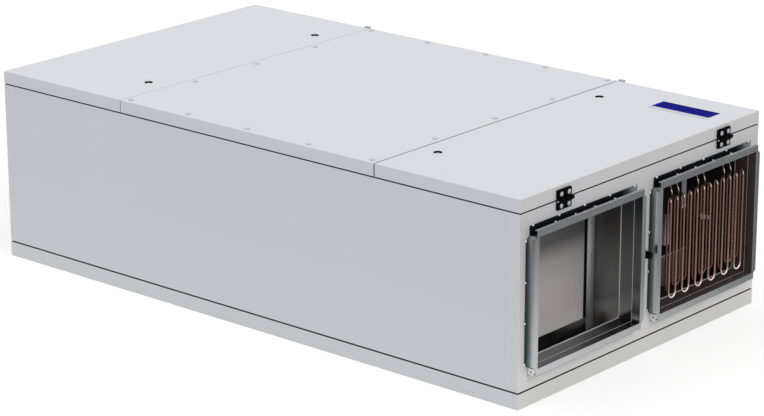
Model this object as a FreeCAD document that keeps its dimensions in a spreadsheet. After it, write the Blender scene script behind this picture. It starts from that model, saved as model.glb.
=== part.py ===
import FreeCAD, Part
import math
import os
import re
import Sketcher

# Air handling unit: a long flat case with two duct frames on each end, an electric air heater in
# one duct opening, a screwed middle lid and a hinged lid at each end. +X points to the heater's
# end, -Y to the long side that is seen, +Z up. The origin is the centre of the base's underside.

doc = FreeCAD.newDocument("air_handling_unit")
sheet = doc.addObject("Spreadsheet::Sheet", "sizes")

# Driving sizes in millimetres, and the counts of sides and steps.
SIZES = {
    "unit_length": 2150,
    "base_height": 49,
    "base_gap": 3,
    "lid_height": 41,
    "lid_gap": 3.5,
    "seal_inset": 4,
    "seal_width": 30,
    "seal_play": 0.3,
    "wall_thickness": 46,
    "end_thickness": 47,
    "edge_radius": 2,
    "end_lid_length": 542.8,
    "split_gap": 3.4,
    "bulkhead_thickness": 46,
    "duct_width": 500,
    "duct_height": 400,
    "side_margin": 52,
    "middle_margin": 103,
    "sill_height": 68.5,
    "head_height": 72,
    "duct_sheet": 1.5,
    "rail_reach": 30,
    "rail_lip": 20,
    "rail_hem": 11,
    "rail_foot": 26,
    "level_rail_foot": 29,
    "rail_overhang": 9,
    "rail_corner": 14,
    "divider_thickness": 22,
    "post_width": 37,
    "post_depth": 52,
    "post_stand": 5,
    "filter_setback": 178,
    "filter_thickness": 47,
    "filter_lift": 37,
    "filter_gap": 7,
    "filter_top_gap": 12,
    "guide_play": 4,
    "fan_wall_setback": 230,
    "fan_wall_thickness": 20,
    "fan_inlet_side": 240,
    "tube_radius": 3.25,
    "tube_sides": 8,
    "bend_steps": 6,
    "leg_pitch": 35.3,
    "row_pitch": 23.6,
    "heater_setback": 15,
    "heater_offset": 9,
    "front_leg_lift": 26.5,
    "back_leg_lift": 46,
    "leg_top_drop": 53,
    "lean_drop": 57.5,
    "terminal_rise": 12,
    "terminal_setback": 15,
    "heater_plate_margin": 16,
    "heater_plate_depth": 100,
    "heater_plate_thickness": 3,
    "heater_plate_drop": 34,
    "hinge_width": 67,
    "hinge_margin": 198.5,
    "hinge_sheet": 6,
    "hinge_offset": 8,
    "hinge_drop": 2,
    "hinge_corner": 4,
    "case_leaf_height": 27.7,
    "lid_leaf_height": 32.7,
    "knuckle_radius": 7,
    "knuckle_width": 26,
    "knuckle_play": 0.4,
    "pin_radius": 3,
    "pin_play": 0.05,
    "pin_head_radius": 6,
    "pin_head_length": 4,
    "lock_inset": 73.8,
    "lock_margin": 202,
    "lock_radius": 14,
    "lock_rim": 2.5,
    "lock_drop": 9,
    "lock_key_side": 12,
    "lock_key_drop": 1,
    "gland_radius": 14,
    "gland_dome_radius": 11,
    "gland_reach": 28,
    "gland_nut_height": 10,
    "catch_inset": 1,
    "catch_width": 22,
    "catch_reach": 9,
    "catch_height": 18,
    "catch_rise": 4,
    "cap_radius": 8,
    "cap_height": 7,
    "cap_sides": 8,
    "cap_end_inset": 24.8,
    "cap_side_inset": 22,
}
for row, (alias, number) in enumerate(SIZES.items(), start=1):
    sheet.set(f"A{row}", alias)
    sheet.set(f"B{row}", str(number))
    sheet.setAlias(f"B{row}", alias)
doc.recompute()

# Places that several pieces share, as expressions of the driving sizes.
END = "(unit_length / 2)"
SIDE = "(duct_width + side_margin + middle_margin / 2)"
WALL_LOW = "(base_height + base_gap)"
DUCT_LOW = f"({WALL_LOW} + sill_height)"
DUCT_TOP = f"({DUCT_LOW} + duct_height)"
DUCT_LEVEL = f"({DUCT_LOW} + duct_height / 2)"
DUCT_PLACE = "((duct_width + middle_margin) / 2)"
WALL_TOP = f"({DUCT_TOP} + head_height)"
LID_LOW = f"({WALL_TOP} + lid_gap)"
UNIT_TOP = f"({LID_LOW} + lid_height)"
INNER_END = f"({END} - end_thickness)"
INNER_SIDE = f"({SIDE} - wall_thickness)"
INNER_HEIGHT = f"({WALL_TOP} - base_height)"
LID_START = f"({END} - end_lid_length)"
SPLIT = f"({LID_START} - split_gap / 2)"
BULKHEAD_FACE = f"({SPLIT} + bulkhead_thickness / 2)"
FILTER_FACE = f"({END} - filter_setback)"
FILTER_BACK = f"({FILTER_FACE} - filter_thickness)"
FAN_WALL_FACE = f"({END} - fan_wall_setback)"
HINGE_X = f"({END} + hinge_offset)"
HINGE_Z = f"({LID_LOW} - lid_gap / 2 - hinge_drop)"
HINGE_PLACE = f"({SIDE} - hinge_margin)"
KNUCKLE_REACH = "(knuckle_radius + knuckle_play)"
LOCK_X = f"({LID_START} + lock_inset)"
LOCK_PLACE = f"({SIDE} - lock_margin)"

# How far a cutting shape runs past each face that it cuts, and pieces that are fused overlap.
PAST = 1

ALONG_X = FreeCAD.Rotation(FreeCAD.Vector(0, 1, 0), 90)
ALONG_Y = FreeCAD.Rotation(FreeCAD.Vector(1, 0, 0), -90)
ACROSS_LENGTH = FreeCAD.Vector(1, 0, 0)
ACROSS_WIDTH = FreeCAD.Vector(0, 1, 0)


def words(text):
    """An expression whose words are read from the sheet."""
    return re.sub(r"[a-z][a-z_]+", lambda word: "sizes." + word.group(), text)


def size(alias):
    """One driving size as a number."""
    return float(getattr(sheet, alias))


def place(item, corner):
    """Bind an object's place to three expressions."""
    for axis, text in zip("xyz", corner):
        item.setExpression(f"Placement.Base.{axis}", words(text))


def block(name, corner, sides):
    """A box from its low corner and its three sides."""
    item = doc.addObject("Part::Box", name)
    for side, text in zip(("Length", "Width", "Height"), sides):
        item.setExpression(side, words(text))
    place(item, corner)
    return item


def round_bar(name, start, radius, length, turn=None):
    """A cylinder from the centre of its first end, along +Z unless it is turned."""
    item = doc.addObject("Part::Cylinder", name)
    if turn:
        item.Placement.Rotation = turn
    item.setExpression("Radius", words(radius))
    item.setExpression("Height", words(length))
    place(item, start)
    return item


def cut(name, base, tool):
    """Base with the tool taken out."""
    item = doc.addObject("Part::Cut", name)
    item.Base = base
    item.Tool = tool
    return item


def fuse(name, pieces):
    """Pieces joined into one solid."""
    item = doc.addObject("Part::MultiFuse", name)
    item.Shapes = pieces
    return item


def group(name, pieces):
    """Like pieces that share a node as separate solids."""
    item = doc.addObject("Part::Compound", name)
    item.Links = pieces
    return item


def mirror(name, source, normal):
    """The same piece on the other side of the unit's middle plane."""
    item = doc.addObject("Part::Mirroring", name)
    item.Source = source
    item.Base = FreeCAD.Vector(0, 0, 0)
    item.Normal = normal
    return item


def origin_plane(body, role):
    """One of a body's own origin planes."""
    return [plane for plane in body.Origin.OriginFeatures if plane.Role == role][0]


def outline(body, name, role, *loops):
    """A sketch of closed loops of lines, each corner held at two expressions from the origin."""
    sketch = body.newObject("Sketcher::SketchObject", name)
    sketch.AttachmentSupport = [(origin_plane(body, role), "")]
    sketch.MapMode = "FlatFace"
    first = 0
    for loop in loops:
        count = len(loop)
        angles = [2 * math.pi * k / count for k in range(count)]
        start = [FreeCAD.Vector(math.cos(angle) + first, math.sin(angle), 0) for angle in angles]
        for k in range(count):
            sketch.addGeometry(Part.LineSegment(start[k], start[(k + 1) % count]), False)
        for k in range(count):
            follower = first + (k + 1) % count
            sketch.addConstraint(Sketcher.Constraint("Coincident", first + k, 2, follower, 1))
        for k, corner in enumerate(loop):
            for kind, text in zip(("DistanceX", "DistanceY"), corner):
                held = Sketcher.Constraint(kind, -1, 1, first + k, 1, 1.0)
                index = sketch.addConstraint(held)
                sketch.setExpression(f"Constraints[{index}]", words(text))
        first += count
    return sketch


def pad(body, name, sketch, length, midplane=False):
    """A pad of the sketch, to one side or both."""
    feature = body.newObject("PartDesign::Pad", name)
    feature.Profile = sketch
    feature.setExpression("Length", words(length))
    feature.Midplane = midplane
    sketch.Visibility = False
    return feature


def pocket(body, name, sketch, length):
    """A pocket of the sketch to both sides of its plane."""
    feature = body.newObject("PartDesign::Pocket", name)
    feature.Profile = sketch
    feature.setExpression("Length", words(length))
    feature.Midplane = True
    sketch.Visibility = False
    return feature


def edges_where(shape, fits):
    """Names of the edges whose bounding box fits a test."""
    return [f"Edge{number}" for number, edge in enumerate(shape.Edges, start=1) if fits(edge.BoundBox)]


def rounding(body, name, base, fits, radius):
    """A fillet along the edges of the base feature that fit a test."""
    doc.recompute()
    feature = body.newObject("PartDesign::Fillet", name)
    feature.Base = (base, edges_where(base.Shape, fits))
    feature.setExpression("Radius", words(radius))
    body.Tip = feature
    return feature


def panel(name, corner, sides):
    """A sheet-metal panel: a pad of its plan with a small radius round its top edges."""
    body = doc.addObject("PartDesign::Body", name)
    length, width, height = sides
    plan = [("0", "0"), (length, "0"), (length, width), ("0", width)]
    slab = pad(body, name + "_slab", outline(body, name + "_plan", "XY_Plane", plan), height)
    doc.recompute()
    top = slab.Length.Value
    rounding(body, name + "_edges", slab, lambda box: box.ZMin > top - 0.01, "edge_radius")
    place(body, corner)
    return body


# Base, walls and seals.
base_panel = panel(
    "base_panel",
    (f"-{END}", f"-{SIDE}", "0"),
    ("unit_length", f"2 * {SIDE}", "base_height"),
)
front_wall = block(
    "front_wall",
    (f"-{INNER_END}", f"-{SIDE}", WALL_LOW),
    (f"2 * {INNER_END}", "wall_thickness", f"{WALL_TOP} - {WALL_LOW}"),
)
back_wall = mirror("back_wall", front_wall, ACROSS_WIDTH)


def ring(name, level, height):
    """A flat strip that runs round the case, set in from its outer faces."""
    outer = block(
        name + "_outer",
        (f"seal_inset - {END}", f"seal_inset - {SIDE}", level),
        ("unit_length - 2 * seal_inset", f"2 * ({SIDE} - seal_inset)", height),
    )
    inset = "(seal_inset + seal_width)"
    inner = block(
        name + "_inner",
        (f"{inset} - {END}", f"{inset} - {SIDE}", level),
        (f"unit_length - 2 * {inset}", f"2 * ({SIDE} - {inset})", height),
    )
    return cut(name, outer, inner)


base_seal = ring("base_seal", "base_height", "base_gap")
edge_seal = ring("edge_seal", WALL_TOP, "lid_gap - seal_play")
right_split_seal = block(
    "right_split_seal",
    (f"{SPLIT} - seal_width / 2", f"seal_inset + seal_width - {SIDE}", WALL_TOP),
    ("seal_width", f"2 * ({SIDE} - seal_inset - seal_width)", "lid_gap - seal_play"),
)
left_split_seal = mirror("left_split_seal", right_split_seal, ACROSS_LENGTH)
lid_seal = fuse("lid_seal", [edge_seal, right_split_seal, left_split_seal])

# End panels with two duct openings each, and the sheet sleeve that lines each opening.
end_slab = block(
    "end_slab",
    (INNER_END, f"-{SIDE}", WALL_LOW),
    ("end_thickness", f"2 * {SIDE}", f"{WALL_TOP} - {WALL_LOW}"),
)


def duct_space(name, side, past, wider):
    """The space of one duct opening, run past the panel's faces and made wider all round."""
    return block(
        name,
        (
            f"{INNER_END} - {past}",
            f"{side}{DUCT_PLACE} - duct_width / 2 - {wider}",
            f"{DUCT_LOW} - {wider}",
        ),
        (f"end_thickness + 2 * {past}", f"duct_width + 2 * {wider}", f"duct_height + 2 * {wider}"),
    )


duct_holes = fuse(
    "duct_holes",
    [
        duct_space("front_duct_hole", "-", PAST, "duct_sheet"),
        duct_space("back_duct_hole", "", PAST, "duct_sheet"),
    ],
)
right_end_panel = cut("right_end_panel", end_slab, duct_holes)
left_end_panel = mirror("left_end_panel", right_end_panel, ACROSS_LENGTH)


def sleeve(name, side):
    """The sheet that lines one opening through the panel."""
    outer = duct_space(name + "_outer", side, 0, "duct_sheet")
    inner = duct_space(name + "_inner", side, PAST, "0")
    return cut(name, outer, inner)


right_sleeves = group("right_sleeves", [sleeve("front_sleeve", "-"), sleeve("back_sleeve", "")])
left_sleeves = mirror("left_sleeves", right_sleeves, ACROSS_LENGTH)
duct_sleeves = group("duct_sleeves", [right_sleeves, left_sleeves])

# Inside: cross walls under the lid splits, a wall between the two air ways, and in each end
# compartment a filter with its guide on one side and a fan wall on the other.
right_bulkhead = block(
    "right_bulkhead",
    (f"{SPLIT} - bulkhead_thickness / 2", f"-{INNER_SIDE}", "base_height"),
    ("bulkhead_thickness", f"2 * {INNER_SIDE}", INNER_HEIGHT),
)
left_bulkhead = mirror("left_bulkhead", right_bulkhead, ACROSS_LENGTH)
right_divider = block(
    "right_divider",
    (BULKHEAD_FACE, "-divider_thickness / 2", "base_height"),
    (f"{INNER_END} - {BULKHEAD_FACE}", "divider_thickness", INNER_HEIGHT),
)
left_divider = mirror("left_divider", right_divider, ACROSS_LENGTH)
guide_post = block(
    "guide_post",
    (f"{FILTER_FACE} + post_stand - post_depth", "-divider_thickness / 2 - post_width", "base_height"),
    ("post_depth", "post_width", INNER_HEIGHT),
)
guide_rail = block(
    "guide_rail",
    (FILTER_BACK, f"-{INNER_SIDE}", "base_height"),
    (
        "filter_thickness - guide_play",
        f"{INNER_SIDE} - divider_thickness / 2 - post_width",
        "filter_lift + base_gap",
    ),
)
right_filter_guide = fuse("right_filter_guide", [guide_post, guide_rail])
left_filter_guide = mirror("left_filter_guide", right_filter_guide, ACROSS_LENGTH)
right_filter = block(
    "right_filter",
    (FILTER_BACK, f"-{INNER_SIDE}", f"{WALL_LOW} + filter_lift"),
    (
        "filter_thickness",
        f"{INNER_SIDE} - divider_thickness / 2 - post_width - filter_gap",
        f"{WALL_TOP} - {WALL_LOW} - filter_lift - filter_top_gap",
    ),
)
left_filter = mirror("left_filter", right_filter, ACROSS_LENGTH)
fan_slab = block(
    "fan_slab",
    (f"{FAN_WALL_FACE} - fan_wall_thickness", "divider_thickness / 2", "base_height"),
    ("fan_wall_thickness", f"{INNER_SIDE} - divider_thickness / 2", INNER_HEIGHT),
)
fan_inlet = block(
    "fan_inlet",
    (
        f"{FAN_WALL_FACE} - fan_wall_thickness - {PAST}",
        f"{DUCT_PLACE} - fan_inlet_side / 2",
        f"{DUCT_LEVEL} - fan_inlet_side / 2",
    ),
    (f"fan_wall_thickness + 2 * {PAST}", "fan_inlet_side", "fan_inlet_side"),
)
right_fan_wall = cut("right_fan_wall", fan_slab, fan_inlet)
left_fan_wall = mirror("left_fan_wall", right_fan_wall, ACROSS_LENGTH)

# Duct frames: a rail of bent sheet on each side of each opening.


def rail_profile(foot):
    """The rail's section: foot on the panel, web along the duct wall, lip and hem at the mouth."""
    lip_inner = "rail_reach - duct_sheet"
    hem_edge = "rail_reach - rail_hem"
    return [
        ("0", "0"),
        ("rail_reach", "0"),
        ("rail_reach", "rail_lip"),
        (hem_edge, "rail_lip"),
        (hem_edge, "rail_lip - duct_sheet"),
        (lip_inner, "rail_lip - duct_sheet"),
        (lip_inner, "duct_sheet"),
        ("duct_sheet", "duct_sheet"),
        ("duct_sheet", foot),
        ("0", foot),
    ]


def corner_cut(end, sign):
    """A triangle over the outer corner of a rail's end, where it meets the next rail."""
    past_end = f"{sign}({end} + {PAST})"
    past_foot = f"rail_foot + {PAST}"
    reach = f"rail_corner + 2 * {PAST}"
    return [
        (past_end, past_foot),
        (past_end, f"{past_foot} - ({reach})"),
        (f"{sign}({end} + {PAST} - ({reach}))", past_foot),
    ]


def duct_rail(name, length, across, level, turn, foot, cornered):
    """One rail turned about X and set beside the front right duct opening."""
    body = doc.addObject("PartDesign::Body", name)
    sketch = outline(body, name + "_profile", "XZ_Plane", rail_profile(foot))
    pad(body, name + "_sheet", sketch, length, midplane=True)
    if cornered:
        end = f"({length}) / 2"
        cuts = [corner_cut(end, ""), corner_cut(end, "-")]
        corners = outline(body, name + "_corner_lines", "YZ_Plane", *cuts)
        pocket(body, name + "_corners", corners, f"2 * (rail_reach + {PAST})")
    body.Placement.Rotation = FreeCAD.Rotation(FreeCAD.Vector(1, 0, 0), turn)
    place(body, (END, across, level))
    return body


LEVEL_RAIL = "duct_width + 2 * rail_overhang"
FRONT_OUTER = f"-{DUCT_PLACE} - duct_width / 2"
FRONT_INNER = f"-{DUCT_PLACE} + duct_width / 2"
RAIL_PLACE = f"-{DUCT_PLACE}"
top_rail = duct_rail("top_rail", LEVEL_RAIL, RAIL_PLACE, DUCT_TOP, 0, "level_rail_foot", False)
bottom_rail = duct_rail("bottom_rail", LEVEL_RAIL, RAIL_PLACE, DUCT_LOW, 180, "level_rail_foot", False)
outer_rail = duct_rail("outer_rail", "duct_height", FRONT_OUTER, DUCT_LEVEL, 90, "rail_foot", True)
inner_rail = duct_rail("inner_rail", "duct_height", FRONT_INNER, DUCT_LEVEL, -90, "rail_foot", True)
right_front_level_rails = group("right_front_level_rails", [top_rail, bottom_rail])
right_front_side_rails = group("right_front_side_rails", [outer_rail, inner_rail])
duct_rails = [right_front_level_rails, right_front_side_rails]
for rails in list(duct_rails):
    duct_rails.append(mirror(rails.Name.replace("front", "back"), rails, ACROSS_WIDTH))
for rails in list(duct_rails):
    duct_rails.append(mirror(rails.Name.replace("right", "left"), rails, ACROSS_LENGTH))

# Lids.
middle_lid = panel(
    "middle_lid",
    (f"split_gap / 2 - {SPLIT}", f"-{SIDE}", LID_LOW),
    (f"2 * {SPLIT} - split_gap", f"2 * {SIDE}", "lid_height"),
)


def screw_cap(across, along):
    """One many-sided cap over a lid screw, across and along in half steps from the lid's centre."""
    item = doc.addObject("Part::Prism", "screw_cap")
    item.setExpression("Polygon", words("cap_sides"))
    item.setExpression("Circumradius", words("cap_radius"))
    item.setExpression("Height", words("cap_height"))
    end_place = f"({SPLIT} - split_gap / 2 - cap_end_inset)"
    place(item, (f"{along} / 2 * {end_place}", f"{across} / 2 * ({SIDE} - cap_side_inset)", UNIT_TOP))
    return item


STEPS = range(-2, 3)
CAP_STEPS = [(across, along) for across in STEPS for along in STEPS if 2 in (abs(across), abs(along))]
middle_lid_caps = group("middle_lid_caps", [screw_cap(across, along) for across, along in CAP_STEPS])
lid_panel = panel(
    "lid_panel",
    (LID_START, f"-{SIDE}", LID_LOW),
    ("end_lid_length", f"2 * {SIDE}", "lid_height"),
)


def lock_hole(name, side):
    """The round hole in a lid that takes one lock."""
    start = (LOCK_X, f"{side}{LOCK_PLACE}", f"{LID_LOW} - {PAST}")
    return round_bar(name, start, "lock_radius", f"lid_height + 2 * {PAST}")


lock_holes = fuse("lock_holes", [lock_hole("front_lock_hole", "-"), lock_hole("back_lock_hole", "")])
right_lid = cut("right_lid", lid_panel, lock_holes)
left_lid = mirror("left_lid", right_lid, ACROSS_LENGTH)


def lock(name, side):
    """A quarter-turn lock: a cup let into the lid with a square key stud in its middle."""
    across = f"{side}{LOCK_PLACE}"
    cup = round_bar(name + "_cup", (LOCK_X, across, LID_LOW), "lock_radius", "lid_height")
    hollow = round_bar(
        name + "_hollow",
        (LOCK_X, across, f"{UNIT_TOP} - lock_drop"),
        "lock_radius - lock_rim",
        f"lock_drop + {PAST}",
    )
    stud = block(
        name + "_stud",
        (
            f"{LOCK_X} - lock_key_side / 2",
            f"{across} - lock_key_side / 2",
            f"{UNIT_TOP} - lock_drop - {PAST}",
        ),
        ("lock_key_side", "lock_key_side", f"lock_drop - lock_key_drop + {PAST}"),
    )
    return fuse(name, [cut(name + "_shell", cup, hollow), stud])


right_lid_locks = group("right_lid_locks", [lock("front_lock", "-"), lock("back_lock", "")])
left_lid_locks = mirror("left_lid_locks", right_lid_locks, ACROSS_LENGTH)
right_lid_catch = block(
    "right_lid_catch",
    (f"{LID_START} + catch_inset", SIDE, f"{UNIT_TOP} + catch_rise - catch_height"),
    ("catch_width", "catch_reach", "catch_height"),
)
left_lid_catch = mirror("left_lid_catch", right_lid_catch, ACROSS_LENGTH)

# Hinges: one leaf on the end panel and one on the lid's edge, round a pin with a pull knob.


def leaf_plate(name, side, level, height, outward):
    """The screwed plate of a leaf, with the two corners away from the pin rounded."""
    body = doc.addObject("PartDesign::Body", name)
    plan = [("0", "0"), ("hinge_width", "0"), ("hinge_width", height), ("0", height)]
    slab = pad(body, name + "_slab", outline(body, name + "_plan", "YZ_Plane", plan), "hinge_sheet")
    doc.recompute()
    far = slab.Shape.BoundBox.ZMax if outward > 0 else slab.Shape.BoundBox.ZMin
    rounding(
        body,
        name + "_corners",
        slab,
        lambda box: box.XLength > 1 and abs(box.ZMin - far) + abs(box.ZMax - far) < 0.01,
        "hinge_corner",
    )
    place(body, (END, f"{side}{HINGE_PLACE} - hinge_width / 2", level))
    return body


def knuckle(name, start, width):
    """A barrel round the hinge line."""
    return round_bar(name, (HINGE_X, start, HINGE_Z), "knuckle_radius", width, ALONG_Y)


def bored(name, pieces, start, radius, width):
    """Pieces of a leaf joined and bored along the hinge line."""
    solid = fuse(name + "_solid", pieces)
    from_place = (HINGE_X, f"{start} - {PAST}", HINGE_Z)
    return cut(name, solid, round_bar(name + "_bore", from_place, radius, f"{width} + 2 * {PAST}", ALONG_Y))


def case_leaf(name, side):
    """The leaf on the end panel, with a knuckle at each end of the hinge."""
    low = f"{side}{HINGE_PLACE} - hinge_width / 2"
    ear = "(hinge_width - knuckle_width) / 2"
    height = f"case_leaf_height - {KNUCKLE_REACH}"
    pieces = [leaf_plate(name + "_plate", side, f"{HINGE_Z} - case_leaf_height", height, -1)]
    for word, start in (("near", low), ("far", f"{side}{HINGE_PLACE} + knuckle_width / 2")):
        web = block(
            f"{name}_{word}_web",
            (END, start, f"{HINGE_Z} - {KNUCKLE_REACH} - {PAST}"),
            ("hinge_offset", ear, f"{KNUCKLE_REACH} + {PAST}"),
        )
        pieces += [web, knuckle(f"{name}_{word}_knuckle", start, ear)]
    return bored(name, pieces, low, "pin_radius", "hinge_width")


def lid_leaf(name, side):
    """The leaf on the lid, with the middle knuckle."""
    width = "(knuckle_width - 2 * knuckle_play)"
    start = f"{side}{HINGE_PLACE} - {width} / 2"
    height = f"lid_leaf_height - {KNUCKLE_REACH}"
    plate = leaf_plate(name + "_plate", side, f"{HINGE_Z} + {KNUCKLE_REACH}", height, 1)
    web = block(
        name + "_web",
        (f"{END} + {PAST}", start, HINGE_Z),
        (f"hinge_offset - {PAST}", width, f"{KNUCKLE_REACH} + {PAST}"),
    )
    pieces = [plate, web, knuckle(name + "_knuckle", start, width)]
    return bored(name, pieces, start, "pin_radius + pin_play", width)


def hinge_pin(name, side):
    """The pin, whose knob stands out beyond the far knuckle."""
    low = f"{side}{HINGE_PLACE} - hinge_width / 2"
    shank = round_bar(name + "_shank", (HINGE_X, low, HINGE_Z), "pin_radius", "hinge_width", ALONG_Y)
    knob = round_bar(
        name + "_knob",
        (HINGE_X, f"{side}{HINGE_PLACE} + hinge_width / 2", HINGE_Z),
        "pin_head_radius",
        "pin_head_length",
        ALONG_Y,
    )
    return fuse(name, [shank, knob])


def hinge_pair(name, make, piece):
    """One kind of hinge piece on both hinges of the right lid."""
    return group(name, [make(f"front_{piece}", "-"), make(f"back_{piece}", "")])


right_case_leaves = hinge_pair("right_case_leaves", case_leaf, "case_leaf")
right_lid_leaves = hinge_pair("right_lid_leaves", lid_leaf, "lid_leaf")
right_hinge_pins = hinge_pair("right_hinge_pins", hinge_pin, "pin")
left_case_leaves = mirror("left_case_leaves", right_case_leaves, ACROSS_LENGTH)
left_lid_leaves = mirror("left_lid_leaves", right_lid_leaves, ACROSS_LENGTH)
left_hinge_pins = mirror("left_hinge_pins", right_hinge_pins, ACROSS_LENGTH)

# Electric air heater: three tube elements, each bent up and down in a front and a back row, hung
# from a terminal plate above the duct opening.
ELEMENT_WORDS = ("near", "middle", "far")
LEGS_PER_ELEMENT = 4
LEG_SPAN = f"{len(ELEMENT_WORDS) * LEGS_PER_ELEMENT - 1} * leg_pitch"
heater_plate = block(
    "heater_plate",
    (
        f"{INNER_END} - heater_plate_depth",
        f"{DUCT_PLACE} + heater_offset - ({LEG_SPAN}) / 2 - heater_plate_margin",
        f"{WALL_TOP} - heater_plate_drop",
    ),
    ("heater_plate_depth", f"{LEG_SPAN} + 2 * heater_plate_margin", "heater_plate_thickness"),
)


def bend(start, end, rise):
    """Points of a half circle between two legs, over the top (1) or under the bottom (-1)."""
    middle = (start + end) * 0.5
    across = (start - end) * 0.5
    up = FreeCAD.Vector(0, 0, rise * across.Length)
    steps = int(size("bend_steps"))
    angles = [math.pi * k / steps for k in range(steps + 1)]
    return [middle + across * math.cos(angle) + up * math.sin(angle) for angle in angles]


def element_points(sides):
    """The centre line of one element, from one terminal to the other.

    sides are the places across the duct of its four front legs. Each front leg goes over the
    top, half a pitch to one side, into a back leg. The front legs are joined below in pairs, and
    so are the two middle back legs. The outer back legs pass to a third row, in line with two of
    the front legs, that rises, leans back and ends at the terminal plate.
    """
    row = size("row_pitch")
    stagger = size("leg_pitch") / 2
    front = size("unit_length") / 2 + size("rail_reach") - size("heater_setback")
    middle = front - row
    rear = middle - row
    terminal = size("unit_length") / 2 - size("end_thickness") - size("terminal_setback")
    duct_low = size("base_height") + size("base_gap") + size("sill_height")
    duct_top = duct_low + size("duct_height")
    low = duct_low + size("front_leg_lift") + size("tube_radius") + stagger
    back_low = duct_low + size("back_leg_lift") + size("tube_radius") + stagger
    high = duct_top - size("leg_top_drop") - size("tube_radius") - math.hypot(row, stagger) / 2
    lean = duct_top - size("lean_drop")
    plate = duct_top + size("head_height") - size("heater_plate_drop")
    point = FreeCAD.Vector
    backs = [side + stagger for side in sides]
    straight = plate - size("terminal_rise")
    points = [point(terminal, sides[2], plate), point(terminal, sides[2], straight)]
    points += [point(rear, sides[2], lean)]
    points += bend(point(rear, sides[2], back_low), point(middle, backs[0], back_low), -1)
    for first, second in ((0, 1), (2, 3)):
        points += bend(point(middle, backs[first], high), point(front, sides[first], high), 1)
        points += bend(point(front, sides[first], low), point(front, sides[second], low), -1)
        points += bend(point(front, sides[second], high), point(middle, backs[second], high), 1)
        if first == 0:
            points += bend(point(middle, backs[1], back_low), point(middle, backs[2], back_low), -1)
    points += bend(point(middle, backs[3], back_low), point(rear, sides[3], back_low), -1)
    points += [point(rear, sides[3], lean), point(terminal, sides[3], straight)]
    points += [point(terminal, sides[3], plate)]
    return points


def element(name, number):
    """One tube element: a many-sided section swept along its centre line."""
    centre = (size("duct_width") + size("middle_margin")) / 2 + size("heater_offset")
    middle = (len(ELEMENT_WORDS) * LEGS_PER_ELEMENT - 1) / 2
    places = [number * LEGS_PER_ELEMENT + k - middle for k in range(LEGS_PER_ELEMENT)]
    points = element_points([centre + step * size("leg_pitch") for step in places])
    line = doc.addObject("Part::Feature", name + "_line")
    line.Shape = Part.makePolygon(points)
    section = doc.addObject("Part::RegularPolygon", name + "_section")
    section.setExpression("Polygon", words("tube_sides"))
    section.setExpression("Circumradius", words("tube_radius"))
    turn = FreeCAD.Rotation(FreeCAD.Vector(0, 0, 1), points[1] - points[0])
    section.Placement = FreeCAD.Placement(points[0], turn)
    item = doc.addObject("Part::Sweep", name)
    item.Sections = [section]
    item.Spine = (line, [f"Edge{k + 1}" for k in range(len(points) - 1)])
    item.Solid = True
    item.Transition = "Right corner"
    return item


heater_elements = [element(f"heater_element_{word}", k) for k, word in enumerate(ELEMENT_WORDS)]

# Cable gland between the two duct frames.
gland_nut = doc.addObject("Part::Prism", "gland_nut")
gland_nut.Polygon = 6
gland_nut.Placement.Rotation = ALONG_X
gland_nut.setExpression("Circumradius", words("gland_radius"))
gland_nut.setExpression("Height", words("gland_nut_height"))
place(gland_nut, (END, "0", DUCT_LEVEL))
gland_dome = round_bar("gland_dome", (END, "0", DUCT_LEVEL), "gland_dome_radius", "gland_reach", ALONG_X)
cable_gland = fuse("cable_gland", [gland_nut, gland_dome])

NODES = [
    base_panel,
    front_wall,
    back_wall,
    right_end_panel,
    left_end_panel,
    duct_sleeves,
    base_seal,
    lid_seal,
    right_bulkhead,
    left_bulkhead,
    right_divider,
    left_divider,
    right_filter_guide,
    left_filter_guide,
    right_filter,
    left_filter,
    right_fan_wall,
    left_fan_wall,
    middle_lid,
    middle_lid_caps,
    right_lid,
    left_lid,
    right_lid_locks,
    left_lid_locks,
    right_lid_catch,
    left_lid_catch,
    right_case_leaves,
    left_case_leaves,
    right_lid_leaves,
    left_lid_leaves,
    right_hinge_pins,
    left_hinge_pins,
    heater_plate,
    cable_gland,
    *duct_rails,
    *heater_elements,
]

doc.recompute()

# Write each sub-part once everything has come out sound.
for item in doc.Objects:
    if "Invalid" in item.State or "Error" in item.State:
        raise RuntimeError(f"{item.Name} failed: {item.State}")
for item in NODES:
    if item.Shape.isNull() or not item.Shape.isValid():
        raise RuntimeError(f"{item.Name} has no sound shape")
os.makedirs("parts", exist_ok=True)
for item in NODES:
    item.Label = item.Name
    item.Shape.exportStep(f"parts/{item.Label}.step")
    box = item.Shape.BoundBox
    print(
        f"{item.Label:24s} {len(item.Shape.Solids)} solid {item.Shape.Volume / 1e6:9.3f} litres",
        f"x {box.XMin:.1f} {box.XMax:.1f} y {box.YMin:.1f} {box.YMax:.1f} z {box.ZMin:.1f} {box.ZMax:.1f}",
    )
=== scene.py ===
import bpy
import math
import numpy as np
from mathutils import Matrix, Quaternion, Vector


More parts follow.
